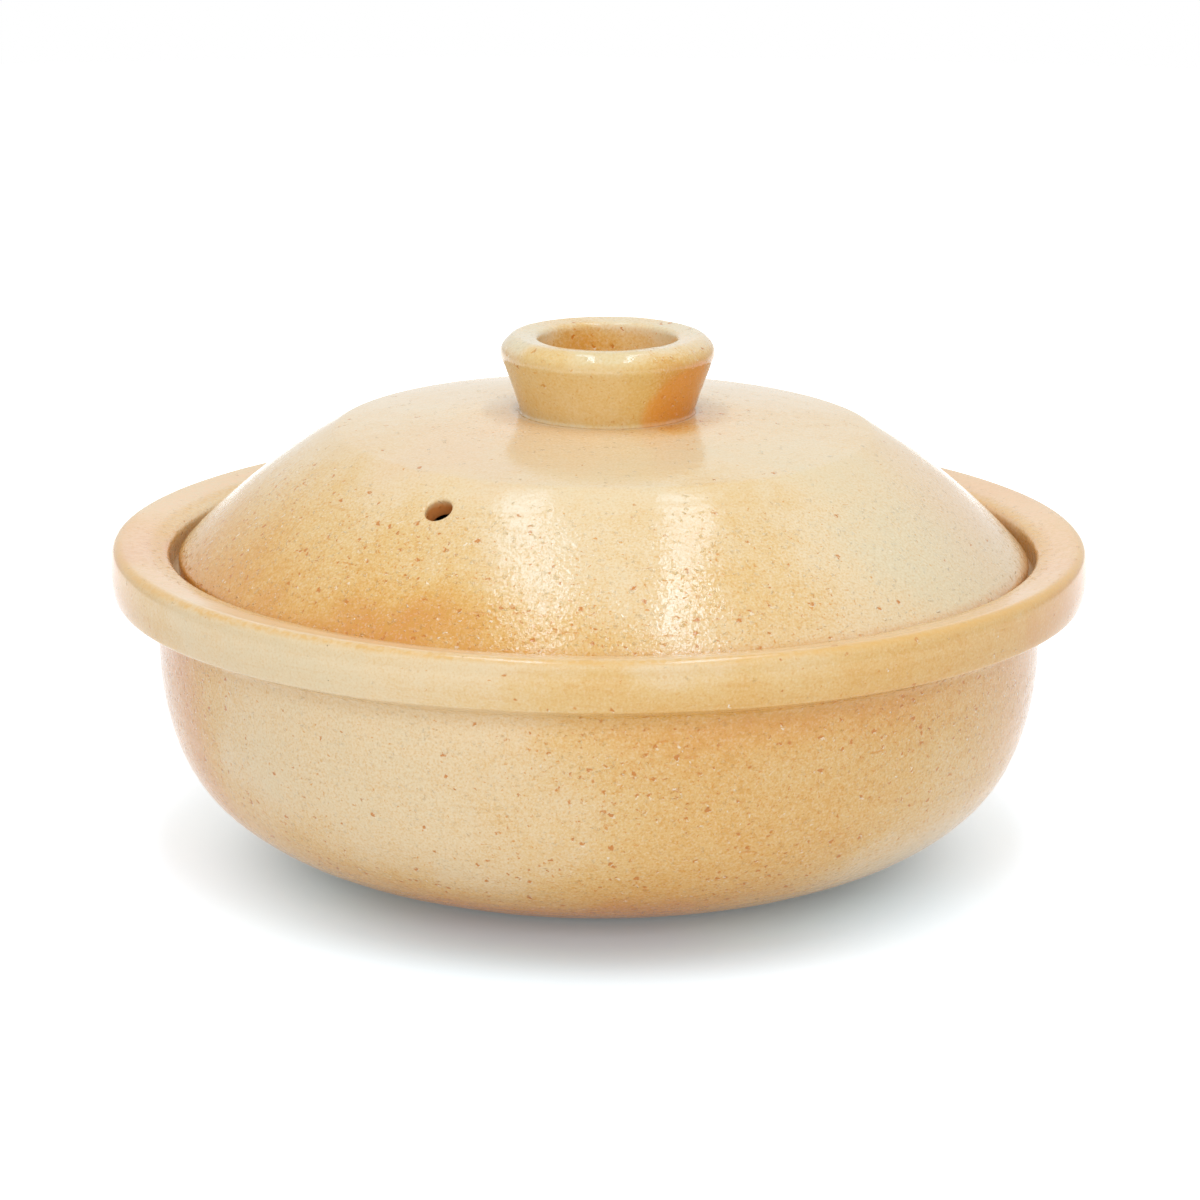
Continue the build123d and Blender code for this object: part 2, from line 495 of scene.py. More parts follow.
def lid_relief(along, radius, height, places):
    """Millimetres that the lid's surface stands out by."""
    seat = fade(height - LEDGE, *LID_FREE)
    land = fade(radius, *LAND_EDGE)
    cap = 1 - fade(radius, *CAP_EDGE)
    wobble = field(places * FLATTENED, *LID_WOBBLE)
    dents = field(places, *LID_DENTS)
    grit = field(places, *LID_GRIT)
    drift = field(places, *LID_DRIFT)
    rings = LID_RING_HEIGHT * np.sin(along / LID_RING + RING_SHIFT * drift) * fade(drift, -0.5, 0.5)
    return seat * land * (wobble + dents + (1 - CAP_CALM * cap) * (grit + rings))


# Knob

KNOB_TOP = LAND + 21.7
KNOB_FOOT = LAND - 0.2  # bedded a little in the lid's glaze
KNOB_WAIST = 24.5  # radius of its side just above the foot
KNOB_FLARE = 0.8  # how far its foot spreads into the lid's glaze
KNOB_FLARE_TOP = KNOB_FOOT + 1.2
KNOB_BROW = (30.5, KNOB_TOP - 4.1)
KNOB_CREST = (26.3, KNOB_TOP)
KNOB_HOLE_TOP = (19.4, KNOB_TOP - 0.9)
KNOB_HOLE_FOOT = (17.2, KNOB_FOOT)
KNOB_HOLLOW = 0.35  # how far its side is drawn in between waist and brow
KNOB_WOBBLE = (0.22, 30)
KNOB_DENTS = (0.09, 9)
KNOB_GRIT = (0.03, 2.6, 2)


def knob_parts():
    """The knob's outline from the foot of its hole out, up its side and back down the hole."""
    spread = (KNOB_WAIST + KNOB_FLARE, KNOB_FOOT)
    turn = (KNOB_WAIST, KNOB_FOOT + 0.2)
    waist = (KNOB_WAIST, KNOB_FLARE_TOP)
    return [
        bezier([KNOB_HOLE_FOOT, spread], 1.5, corner=0.1),
        bezier([spread, turn, waist], 0.25),
        bowed(waist, KNOB_BROW, -KNOB_HOLLOW, 0.5, corner=4.0),
        bezier([KNOB_BROW, KNOB_CREST], 0.5, corner=3.7),
        bezier([KNOB_CREST, KNOB_HOLE_TOP], 0.5, corner=1.8),
        bezier([KNOB_HOLE_TOP, KNOB_HOLE_FOOT], 0.8, corner=0.1),
    ]


knob_outline = Outline(knob_parts())


def knob_relief(along, radius, height, places):
    """Millimetres that the knob's surface stands out by."""
    foot = fade(height, LAND, LAND + 2)
    wobble = field(places, *KNOB_WOBBLE)
    dents = field(places, *KNOB_DENTS)
    grit = field(places, *KNOB_GRIT)
    return foot * (wobble + dents + grit)


# Steam vent, pierced square to the flank

VENT_BEARING = math.radians(-31)
VENT_SPOT = (85.1, 114.07)  # radius and height of its middle on the flank
VENT_RADIUS = 3.75
VENT_LIP = 0.8  # rounding of its outer edge
VENT_INNER_LIP = 0.3
VENT_POINTS = 48
VENT_REACH = 6.5  # half the side of the patch of mesh that is made anew round it
VENT_RINGS = (0.7, 0.4, 0.18, 0)  # shares of the way in from that patch's edge to the lip
LIP_TURNS = np.radians([18, 36, 54, 72, 90])  # round each lip from the surface into the bore
BORE_RINGS = (0.33, 0.67)  # shares of the way through the bore

vent_outer = lid_outline.nearest(*VENT_SPOT, OUTER_FLANK)


def below_vent(depth):
    """Radius and height of the middle of the vent's bore, that deep in the flank."""
    _, _, out, up = lid_outline.at(vent_outer)
    return VENT_SPOT[0] - out * depth, VENT_SPOT[1] - up * depth


vent_inner = lid_outline.nearest(*below_vent(LID_WALL), INNER_FLANK)


def block(turned, along, bearing):
    """The rows and columns of cells within the vent's reach of a spot, in that zone's own columns."""
    rows = np.searchsorted(turned.outline.rows, [along - VENT_REACH, along + VENT_REACH])
    skip = turned.outline.skip_at(along)
    radius = turned.outline.at(along)[0]
    columns = turned.columns // skip
    sides = (bearing + np.array([-VENT_REACH, VENT_REACH]) / radius) * columns / math.tau
    low, high = np.round(sides).astype(int) % columns
    return (rows[0], rows[1]), (low, high)


def edge_of(rings, rows, columns):
    """The points round a block of cells."""
    (top, bottom), (low, high) = rows, columns
    sides = [rings[row][[low, high]] for row in range(top, bottom + 1)]
    ends = [rings[row][low:high + 1] for row in rows]
    return np.unique(np.concatenate(sides + ends))


def pierce(turned, rings, outer, inner, outer_block, inner_block):
    """Joins the outer and inner flank round a round vent with soft lips."""
    bearing = VENT_BEARING
    _, _, out, up = turned.outline.at(outer)
    normal = np.array([math.sin(bearing) * out, -math.cos(bearing) * out, up])
    across = np.array([math.cos(bearing), math.sin(bearing), 0])
    uphill = np.cross(normal, across)
    middle = turned.surface(outer, bearing)
    angles = np.arange(VENT_POINTS) * math.tau / VENT_POINTS
    plane = np.outer(np.cos(angles), across) + np.outer(np.sin(angles), uphill)

    def polar(points):
        """The angle of each point round the vent, and the points' reach at the vent's own angles."""
        gaps = np.concatenate(turned.places)[points] - middle
        x, y = gaps @ across, gaps @ uphill
        angle = np.arctan2(y, x)
        order = angle.argsort()
        reach = np.interp(angles, angle[order], np.hypot(x, y)[order], period=math.tau)
        return angle, reach

    def depth(along, uphill_sign, reach):
        """How far out of the vent's plane the surface lies, at a reach in every direction."""
        at = along + uphill_sign * reach * np.sin(angles)
        turn = bearing + reach * np.cos(angles) / turned.outline.at(along)[0]
        return (turned.surface(at, turn) - middle) @ normal

    def lip_steps(along, uphill_sign, lip, edge_reach):
        """Reach and depth of the rings from the patch's edge over the lip to the bore."""
        for share in VENT_RINGS:
            reach = VENT_RADIUS + lip + (edge_reach - VENT_RADIUS - lip) * share
            yield reach, depth(along, uphill_sign, reach)
        for turn in LIP_TURNS:
            reach = np.full(VENT_POINTS, VENT_RADIUS + lip * (1 - math.sin(turn)))
            sunk = uphill_sign * lip * (1 - math.cos(turn))
            yield reach, depth(along, uphill_sign, reach) - sunk

    def ring(reach, height):
        reach = np.broadcast_to(reach, angles.shape)
        return turned.add(middle + plane * reach[:, None] + np.outer(height, normal))

    outer_edge = edge_of(rings, *outer_block)
    inner_edge = edge_of(rings, *inner_block)
    outer_angles, outer_reach = polar(outer_edge)
    inner_angles, inner_reach = polar(inner_edge)
    steps = list(lip_steps(outer, 1, VENT_LIP, outer_reach))
    inside = list(lip_steps(inner, -1, VENT_INNER_LIP, inner_reach))
    bore_reach, bore_top = steps[-1]
    bore_bottom = inside[-1][1]
    for share in BORE_RINGS:
        steps.append((bore_reach, bore_top * (1 - share) + bore_bottom * share))
    made = [ring(*step) for step in steps + inside[::-1]]
    turned.bridge(outer_edge, outer_angles, made[0], angles)
    for near, far in zip(made, made[1:]):
        turned.strip(near, far)
    turned.bridge(made[-1], angles, inner_edge, inner_angles)


# Glaze

def srgb(red, green, blue):
    """A colour as a screen shows it, in the linear values that shaders take."""
    shares = (value / 255 for value in (red, green, blue))
    linear = [s / 12.92 if s <= 0.04045 else ((s + 0.055) / 1.055) ** 2.4 for s in shares]
    return (*linear, 1.0)


ASH_CREAM = srgb(225, 209, 172)
CREAM = srgb(232, 207, 163)
GOLD = srgb(227, 190, 124)
ORANGE = srgb(224, 177, 100)
FIRE = srgb(216, 150, 70)
BLUSH = srgb(232, 182, 140)
PEACH = srgb(242, 202, 160)
PALE = srgb(242, 226, 198)
MOTTLE = srgb(214, 156, 66)
SPECK = srgb(212, 140, 48)
PIT = srgb(200, 122, 34)
# the white of the grains, also used for the highlights painted as glints beside the pits
GRAIN_AND_GLINT = srgb(251, 236, 208)
PINHOLE = srgb(64, 46, 34)
BARE_CLAY = srgb(226, 198, 158)
FOOT_GLAZE = srgb(232, 222, 200)  # glaze that ran together where the knob meets the lid
LAND_GLAZE = srgb(228, 220, 200)
VENT_CLAY = srgb(222, 146, 74)
KNOB_MUSTARD = srgb(226, 190, 106)
KNOB_FIRE = srgb(232, 148, 48)

# How much fire a flash needs for each glaze colour, from ash cream at 0 to fire at 1
RAMP = ((0.25, CREAM), (0.5, GOLD), (0.75, ORANGE))

# Marks in the glaze: the cell that may hold one, its largest radius and where their pattern starts
CRUMBS = (1.65, 0.56, 11)
PITS = (2.7, 1.02, 40)
PAINTED_GLINTS = (2.7, 0.68, 40)  # the pits' own pattern, moved aside by PAINTED_GLINT_SHIFT: a highlight painted on the lit side of each pit
PAINTED_GLINT_SHIFT = (-0.45, 0.0, 0.95)
# white grains: partly real grains in the glaze, partly painted glints
GRAINS_AND_GLINTS = (3.4, 0.62, 120)
DRAGS = (4.0, 0.55, 70)
PINHOLES = (5, 0.28, 160)
LUMPS = (1.9, 0.85, 200)
SQUASHED = (1, 1, 1.4)  # marks are wider than high

# Heights that the marks stand out by where they are whole, in millimetres
LUMP_HEIGHT = 0.26
STREAK_HEIGHT = 0.012
PIT_HEIGHT = -0.06
DRAG_HEIGHT = -0.05
PAINTED_GLINT_HEIGHT = 0.07
GRAIN_HEIGHT = 0.09
PINHOLE_HEIGHT = -0.10
SMOOTH_GRIT = 0.01  # the coarse grit under smooth glaze
GRIT_HEIGHT = 0.08  # what it adds where the glaze is thin
CROWD_HEIGHT = 0.13  # and what it adds more where the marks crowd

# Roughness
SMOOTH_GLAZE = 0.11
GRAIN_ROUGHNESS = 0.07
GRITTY_ROUGHNESS = -0.06  # thin gritty glaze glitters
CLAY_ROUGHNESS = 0.85
GLAZE_IOR = 1.5


class Graph:
    """The nodes of a material or world, written as expressions on their sockets."""

    def __init__(self, owner):
        owner.use_nodes = True
        self.tree = owner.node_tree
        self.tree.nodes.clear()

    def node(self, kind, inputs, **settings):
        node = self.tree.nodes.new("ShaderNode" + kind)
        for key, value in settings.items():
            setattr(node, key, value)
        for key, value in inputs.items():
            if isinstance(value, bpy.types.NodeSocket):
                self.tree.links.new(value, node.inputs[key])
            else:
                node.inputs[key].default_value = value
        return node

    def math(self, operation, a, b=0.0, clamp=False):
        return self.node("Math", {0: a, 1: b}, operation=operation, use_clamp=clamp).outputs[0]

    def add(self, *terms):
        total = terms[0]
        for term in terms[1:]:
            total = self.math("ADD", total, term)
        return total

    def times(self, *terms):
        total = terms[0]
        for term in terms[1:]:
            total = self.math("MULTIPLY", total, term)
        return total

    def line(self, share, start, rise):
        """start where the share is 0, and rise more than that where it is 1."""
        return self.add(start, self.times(share, rise))

    def minus(self, a, b):
        return self.math("SUBTRACT", a, b)

    def rest(self, share):
        """What a share leaves of 1."""
        return self.minus(1.0, share)

    def vector(self, operation, a, b):
        key = "Scale" if operation == "SCALE" else 1
        node = self.node("VectorMath", {0: a, key: b}, operation=operation)
        return node.outputs["Value" if operation in ("LENGTH", "DISTANCE") else "Vector"]

    def fade(self, value, low, high):
        """0 at low, 1 at high and a smooth change between; low may be the higher number."""
        inputs = {"Value": value, "From Min": low, "From Max": high}
        return self.node("MapRange", inputs, interpolation_type="SMOOTHSTEP").outputs[0]

    def mix(self, share, a, b):
        return self.node("Mix", {0: share, 6: a, 7: b}, data_type="RGBA").outputs[2]

    def noise(self, places, size, detail=0.0, roughness=0.5):
        inputs = {"Vector": places, "Scale": 1 / size, "Detail": detail, "Roughness": roughness}
        return self.node("TexNoise", inputs).outputs[0]

    def noise_vector(self, places, size):
        return self.node("TexNoise", {"Vector": places, "Scale": 1 / size}).outputs["Color"]

    def spots(self, places, marks, share, soft=0.5):
        """Round spots, one in a share of the cells, from half to the whole of their radius."""
        cell, size, start = marks
        moved = self.vector("ADD", places, (start, start, start))
        cells = self.node("TexVoronoi", {"Vector": moved, "Scale": 1 / cell})
        chance = self.node("SeparateColor", {0: cells.outputs["Color"]})
        radius = self.line(chance.outputs[1], 0.5 * size / cell, 0.5 * size / cell)
        depth = self.minus(radius, cells.outputs["Distance"])
        mask = self.fade(depth, 0.0, soft * size / cell)
        return self.times(mask, self.math("LESS_THAN", chance.outputs[0], share))


PATCH_EDGE = 1.25  # times its reach, where a patch has faded out
BLUSH_SHARE = 0.7  # the most that a blush can cover


class Ground:
    """Where a shaded point lies on a turned piece, in millimetres."""

    def __init__(self, graph, centre, fall):
        coordinates = graph.node("TexCoord", {})
        self.graph = graph
        self.places = graph.vector("SCALE", coordinates.outputs["Object"], 1 / MM)
        split = graph.node("SeparateXYZ", {0: self.places}).outputs
        self.height = split[2]
        across = graph.minus(split[0], centre)
        flat = graph.node("CombineXYZ", {0: across, 1: split[1], 2: 0.0}).outputs[0]
        self.radius = graph.vector("LENGTH", flat, flat)
        self.round_way = graph.node("SeparateXYZ", {0: graph.vector("NORMALIZE", flat, flat)}).outputs
        self.along = graph.add(self.height, graph.times(self.radius, fall))

    def wheel(self, size, flatness):
        """Coordinates that stretch a pattern round the wheel."""
        graph = self.graph
        return graph.node("CombineXYZ", {
            0: graph.times(self.round_way[0], size),
            1: graph.times(self.round_way[1], size),
            2: graph.times(self.along, flatness),
        }).outputs[0]

    def shaken(self, size, reach):
        """How far a place is shaken out of line, to make shapes ragged."""
        noise_places = self.graph.noise_vector(self.places, size)
        centred = self.graph.vector("SUBTRACT", noise_places, (0.5, 0.5, 0.5))
        return self.graph.vector("SCALE", centred, reach)

    def patches(self, drifted, spots):
        """Sum of soft-edged patches, each (middle, reach in x, y and z, strength)."""
        graph = self.graph
        total = 0.0
        for middle, reach, strength in spots:
            gap = graph.vector("DIVIDE", graph.vector("SUBTRACT", drifted, middle), reach)
            mask = graph.fade(graph.vector("LENGTH", gap, gap), PATCH_EDGE, 0.0)
            total = graph.add(total, graph.times(mask, strength))
        return total


def fired_colour(ground, base, flashes, blushes, fleck):
    """How hot each place was fired, and the glaze colour that it took."""
    graph = ground.graph
    drifted = graph.vector("ADD", ground.places, ground.shaken(30, 26))
    cloud = graph.minus(graph.noise(ground.places, 45, 3, 0.55), 0.5)
    flash = graph.add(
        base, ground.patches(drifted, flashes), graph.times(cloud, 0.35), graph.times(fleck, 0.30)
    )
    ramp = graph.node("ValToRGB", {0: flash})
    stops = ramp.color_ramp.elements
    stops[0].position, stops[0].color = 0.0, ASH_CREAM
    stops[1].position, stops[1].color = 1.0, FIRE
    for position, colour in RAMP:
        stops.new(position).color = colour
    pink = graph.math("MULTIPLY", ground.patches(drifted, blushes), BLUSH_SHARE, True)
    return flash, graph.mix(pink, ramp.outputs[0], BLUSH)


def with_grain(ground, colour, warmth, gritty, grain, coarse, streak):
    """The glaze's fine grain, mottling, orange flecks and streaks round the wheel."""
    graph = ground.graph
    grained = graph.line(gritty, 0.55, 0.45)
    darkened = graph.times(grained, graph.line(warmth, 0.24, 0.38))
    colour = graph.mix(graph.times(graph.fade(grain, 0.50, 0.72), darkened), colour, MOTTLE)
    lightened = graph.times(grained, graph.line(warmth, 0.36, -0.10))
    colour = graph.mix(graph.times(graph.fade(grain, 0.50, 0.28), lightened), colour, PALE)
    above = graph.minus(coarse, graph.line(warmth, 0.70, -0.19))
    colour = graph.mix(graph.times(graph.fade(above, 0.0, 0.10), grained, 0.55), colour, MOTTLE)
    ragged = graph.noise(graph.vector("MULTIPLY", ground.places, SQUASHED), 1.05, 3, 0.75)
    flecks = graph.fade(ragged, 0.585, 0.655)
    colour = graph.mix(graph.times(flecks, grained, graph.line(warmth, 0.02, 0.66)), colour, SPECK)
    return graph.mix(graph.times(streak, graph.line(warmth, 0.08, 0.24)), colour, MOTTLE)


def with_edges(ground, colour, coarse, fleck, edges):
    """Rings where the glaze ran thin, and on the pot also rings of painted shade, each (radius,
    height, reach, share, colour).
    """
    graph = ground.graph
    broken = graph.line(graph.fade(coarse, 0.4, 0.62), 0.55, 0.45)
    for edge_radius, edge_height, reach, share, tint in edges:
        gap_r = graph.minus(ground.radius, edge_radius)
        gap_z = graph.minus(ground.height, edge_height)
        gap = graph.math("SQRT", graph.add(graph.times(gap_r, gap_r), graph.times(gap_z, gap_z)))
        uneven = graph.add(gap, graph.times(fleck, 2.4))
        mask = graph.times(graph.fade(uneven, reach, reach * 0.1), broken, share)
        colour = graph.mix(mask, colour, tint)
    return colour


def with_tints(ground, colour, fleck, tints):
    """Round stains, each (middle, reach, share, colour)."""
    graph = ground.graph
    for middle, reach, share, tint in tints:
        gap = graph.vector("DISTANCE", ground.places, middle)
        mask = graph.fade(graph.add(gap, graph.times(fleck, 2.0)), reach, reach * 0.8)
        colour = graph.mix(graph.times(mask, share), colour, tint)
    return colour


def glaze(
    name, centre, fall, base, flashes, blushes, smooth, bare, edges, tints=(), pitted=1.0, rough=1.0
):
    """Cream ash glaze with orange flashes over gritty clay.

    fall is +1 where the outside runs outwards as it rises, and -1 where it runs inwards. smooth
    and bare are functions that give the shares of thick glaze and of bare clay. pitted and rough
    scale how many marks show and how high the grit stands.
    """
    material = bpy.data.materials.new(name)
    graph = Graph(material)
    ground = Ground(graph, centre, fall)
    places = ground.places
    fleck = graph.minus(graph.noise(places, 7, 3, 0.65), 0.5)
    flash, colour = fired_colour(ground, base, flashes, blushes, fleck)
    gritty = graph.rest(smooth(graph, ground.radius, ground.height))
    warmth = graph.fade(flash, 0.05, 0.85)
    grain = graph.noise(places, 0.66, 1, 0.6)
    coarse = graph.noise(places, 1.8, 2, 0.65)
    streak = graph.fade(graph.noise(ground.wheel(30, 3.2), 5, 3, 0.65), 0.53, 0.70)
    colour = with_grain(ground, colour, warmth, gritty, grain, coarse, streak)

    crowd = graph.fade(graph.noise(places, 26, 2), 0.36, 0.60)
    often = graph.times(gritty, pitted, graph.line(crowd, 0.5, 0.5))
    speckled = graph.times(often, graph.line(graph.fade(flash, 0.16, 0.52), 0.10, 0.90))
    fired = graph.times(often, graph.line(graph.fade(flash, 0.40, 0.85), 0.06, 0.94))
    pit_share = graph.times(speckled, 0.6)
    squashed = graph.vector("MULTIPLY", graph.vector("ADD", places, ground.shaken(1.2, 2.4)), SQUASHED)
    beside = graph.vector("ADD", squashed, PAINTED_GLINT_SHIFT)
    dragged = graph.vector("ADD", ground.wheel(19, 1.0), ground.shaken(1.6, 1.3))
    crumbs = graph.spots(squashed, CRUMBS, speckled)
    pits = graph.spots(squashed, PITS, pit_share)
    # painted glints: pale highlights painted beside each pit, on its lit side
    painted_glints = graph.times(graph.spots(beside, PAINTED_GLINTS, pit_share), graph.rest(pits))
    # white grains, partly real grains and partly painted glints
    grains_and_glints = graph.spots(squashed, GRAINS_AND_GLINTS, fired)
    drags = graph.spots(dragged, DRAGS, graph.times(speckled, 0.8))
    pinholes = graph.spots(places, PINHOLES, 0.12)
    lumps = graph.spots(squashed, LUMPS, graph.times(gritty, 0.8), soft=1.0)
    for marks, share, tint in (
        (crumbs, 0.75, SPECK),
        (drags, 0.65, SPECK),
        (pits, 0.9, PIT),
        # painted highlight beside each pit
        (painted_glints, 0.6, GRAIN_AND_GLINT),
        # white grains, partly painted glints
        (grains_and_glints, 0.8, GRAIN_AND_GLINT),
        (pinholes, 0.7, PINHOLE),
    ):
        colour = graph.mix(graph.times(marks, share), colour, tint)
    colour = with_edges(ground, colour, coarse, fleck, edges)
    colour = with_tints(ground, colour, fleck, tints)
    clay = bare(graph, ground.radius, graph.add(ground.height, graph.times(fleck, 0.5)))
    colour = graph.mix(clay, colour, BARE_CLAY)

    grit_height = graph.times(gritty, rough, graph.line(crowd, GRIT_HEIGHT, CROWD_HEIGHT))
    height = graph.add(
        graph.times(coarse, graph.add(SMOOTH_GRIT, grit_height)),
        graph.times(lumps, rough, LUMP_HEIGHT),
        graph.times(streak, STREAK_HEIGHT),
        graph.times(pits, PIT_HEIGHT),
        graph.times(drags, DRAG_HEIGHT),
        graph.times(painted_glints, PAINTED_GLINT_HEIGHT),
        graph.times(grains_and_glints, GRAIN_HEIGHT),
        graph.times(pinholes, PINHOLE_HEIGHT),
    )
    bump = graph.node("Bump", {"Strength": 1.0, "Distance": MM, "Height": height})
    satin = graph.add(
        SMOOTH_GLAZE, graph.times(grain, GRAIN_ROUGHNESS), graph.times(gritty, GRITTY_ROUGHNESS)
    )
    shader = graph.node("BsdfPrincipled", {
        "Base Color": colour,
        "Roughness": graph.math("MAXIMUM", satin, graph.times(clay, CLAY_ROUGHNESS)),
        "Normal": bump.outputs[0],
        "IOR": GLAZE_IOR,
    })
    graph.node("OutputMaterial", {0: shader.outputs[0]})
    return material


def at_bearing(degrees, radius, height, centre=0.0):
    """The point of a turned surface at a bearing."""
    turn = math.radians(degrees)
    return (centre + radius * math.sin(turn), -radius * math.cos(turn), height)


def on_lid(degrees, radius, height):
    return at_bearing(degrees, radius, height, LID_CENTRE)


def on_knob(degrees, radius, height):
    return at_bearing(degrees, radius, height, KNOB_CENTRE)


# The pot's glaze

def pot_smooth(graph, radius, height):
    """The rim's thick glaze hides the grit."""
    return graph.times(graph.fade(radius, 125, 128), 0.9)


def seat_bare(graph, radius, height):
    """Bare clay a little way up from the level where pot and lid meet."""
    return graph.fade(height, LEDGE + 1.6, LEDGE + 1.2)


def pot_bare(graph, radius, height):
    foot = graph.fade(height, 1.9, 1.4)
    ledge = graph.times(
        seat_bare(graph, radius, height), graph.fade(height, LEDGE - 2.2, LEDGE - 1.8),
        graph.fade(radius, LEDGE_INNER - 0.7, LEDGE_INNER - 0.3),
        graph.fade(radius, MOUTH + 1.4, MOUTH + 0.9),
    )
    return graph.math("MAXIMUM", foot, ledge)


pot_glaze = glaze(
    "pot_glaze", 0.0, 1, 0.20,
    flashes=[
        # the left side
        (at_bearing(-72, 121, 46), (30, 50, 72), 1.0),
        (at_bearing(-92, 123, 48), (24, 46, 64), 0.50),
        (at_bearing(-46, 104, 20), (54, 44, 22), 0.36),
        # low in front
        (at_bearing(-4, 90, 6), (90, 56, 22), 0.56),
        (at_bearing(-12, 82, 4), (50, 44, 14), 0.60),
        # the front and the right side
        (at_bearing(34, 120, 69), (90, 70, 14), 0.32),
        (at_bearing(24, 114, 44), (88, 66, 58), 0.46),
        (at_bearing(48, 100, 14), (56, 44, 18), -0.25),
        (at_bearing(8, 120, 62), (40, 40, 14), 0.16),
        (at_bearing(76, 121, 56), (36, 60, 54), 0.72),
        # the rim
        (at_bearing(86, 134, 80), (20, 46, 18), 0.45),
        (at_bearing(4, 136, 80), (66, 30, 13), 0.34),
        (at_bearing(54, 136, 84), (80, 80, 16), 0.46),
        (at_bearing(-84, 136, 82), (24, 50, 13), 0.50),
        # the back and the floor inside
        (at_bearing(150, 118, 40), (60, 60, 40), 0.50),
        (at_bearing(-140, 124, 60), (50, 50, 24), 0.40),
        ((20, 20, 8), (60, 60, 20), 0.35),
    ],
    blushes=[
        (at_bearing(-84, 123, 50), (28, 56, 60), 0.3),
        (at_bearing(118, 128, 89), (60, 60, 8), 0.9),
        (at_bearing(-84, 136, 82), (24, 50, 13), 0.7),
        (at_bearing(80, 122, 52), (34, 56, 54), 0.6),
    ],
    smooth=pot_smooth, bare=pot_bare, rough=0.85,
    edges=[
        (128.5, 89.2, 9.0, 0.75, PEACH),
        (RIM_EDGE - 0.6, RIM_TOP - 1.0, 1.9, 0.85, ORANGE),
        (MOUTH + 1.6, MOUTH_TOP, 3.4, 0.8, ORANGE),
        # the mouth's inner wall above the ledge: darker orange painted as the shade in the gap between
        # rim and lid
        (MOUTH + 0.2, LEDGE + 2.6, 4.5, 0.8, MOTTLE),
        # under the rim: darker orange, partly thin glaze and partly painted shade of the rim's
        # overhang
        (BODY_RADIUS + 1.0, RIM_ROOT + 0.5, 6.0, 0.3, MOTTLE),
    ],
)


# The lid's glaze

def lid_smooth(graph, radius, height):
    """Thick glaze on the cap, thinner again round the knob."""
    near_knob = graph.fade(radius, 56, 36)
    return graph.times(graph.fade(radius, 91, 77), graph.line(near_knob, 0.85, -0.35))


lid_glaze = glaze(
    "lid_glaze", LID_CENTRE, -1, 0.31,
    flashes=[
        # the flank, from left to right
        (on_lid(-56, 112, 88), (90, 76, 30), 0.40),
        (on_lid(-74, 114, 88), (44, 60, 24), 0.26),
        (on_lid(-22, 114, 86), (64, 50, 14), 0.46),
        (on_lid(-24, 106, 94), (44, 40, 18), 0.12),
        (on_lid(26, 104, 98), (32, 30, 16), 0.18),
        (on_lid(24, 84, 114), (40, 30, 14), 0.10),
        (on_lid(52, 106, 96), (60, 56, 30), -0.30),
        (on_lid(74, 108, 90), (44, 50, 24), -0.16),
        # the cap and round the knob
        (on_lid(34, 29, 125.5), (12, 12, 6), 0.55),
        (on_lid(0, 50, 124), (90, 50, 9), -0.20),
        ((KNOB_CENTRE, -3, 125.5), (36, 34, 6), 0.5),
        # the back
        (on_lid(160, 100, 100), (60, 50, 24), 0.40),
        (on_lid(-120, 96, 106), (50, 50, 20), -0.20),
    ],
    blushes=[
        (on_lid(-30, 50, 124), (60, 46, 8), 0.5),
        (on_lid(85, 100, 100), (34, 50, 24), 0.5),
    ],
    smooth=lid_smooth, bare=seat_bare,
    edges=[
        (LID_RADIUS, LID_EDGE[1] - 0.7, 5.0, 0.55, SPECK),
        (KNOB_WAIST + 1.1, LAND, 1.2, 0.4, LAND_GLAZE),
    ],
    tints=[
        (on_lid(math.degrees(VENT_BEARING), *below_vent(4.6)), 5.6, 0.9, VENT_CLAY),
    ],
)


# The knob's glaze

def knob_smooth(graph, radius, height):
    return 0.35


def knob_bare(graph, radius, height):
    return 0.0


knob_glaze = glaze(
    "knob_glaze", KNOB_CENTRE, 1, 0.40,
    flashes=[
        (on_knob(58, 29, 133), (21, 23, 22), 0.80),
        (on_knob(-150, 20, 140), (16, 16, 16), 0.45),
        (on_knob(0, 10, 148.5), (60, 60, 6), -0.60),
    ],
    blushes=[],
    smooth=knob_smooth, bare=knob_bare,
    edges=[
        (KNOB_WAIST + 0.7, LAND + 0.3, 1.2, 0.6, FOOT_GLAZE),
        (KNOB_BROW[0] - 0.1, KNOB_TOP - 3.4, 1.6, 0.5, ORANGE),
    ],
    tints=[
        (on_knob(-16, 29, 134), 24.0, 0.32, KNOB_MUSTARD),
        (on_knob(56, 27, 127), 17.0, 0.55, KNOB_FIRE),
    ],
    pitted=0.8, rough=0.5,
)


# Making the pieces

pot = Turned("pot_body", pot_outline, 0.0, POT_COLUMNS, pot_relief, narrowing=mouth_narrowing)
pot.turn()
pot.finish(pot_glaze, "pot", "pot")

lid = Turned("lid_dome", lid_outline, LID_CENTRE, LID_COLUMNS, lid_relief, LID_LEAN)
blocks = [block(lid, vent_outer, VENT_BEARING), block(lid, vent_inner, VENT_BEARING)]
lid_rings = lid.turn(holes=blocks)
pierce(lid, lid_rings, vent_outer, vent_inner, *blocks)
lid.finish(lid_glaze, "lid", "lid")

knob = Turned("knob_ring", knob_outline, KNOB_CENTRE, KNOB_COLUMNS, knob_relief)
knob.turn(loop=True)
knob.finish(knob_glaze, "lid", "lid_knob")


# Stage, in metres

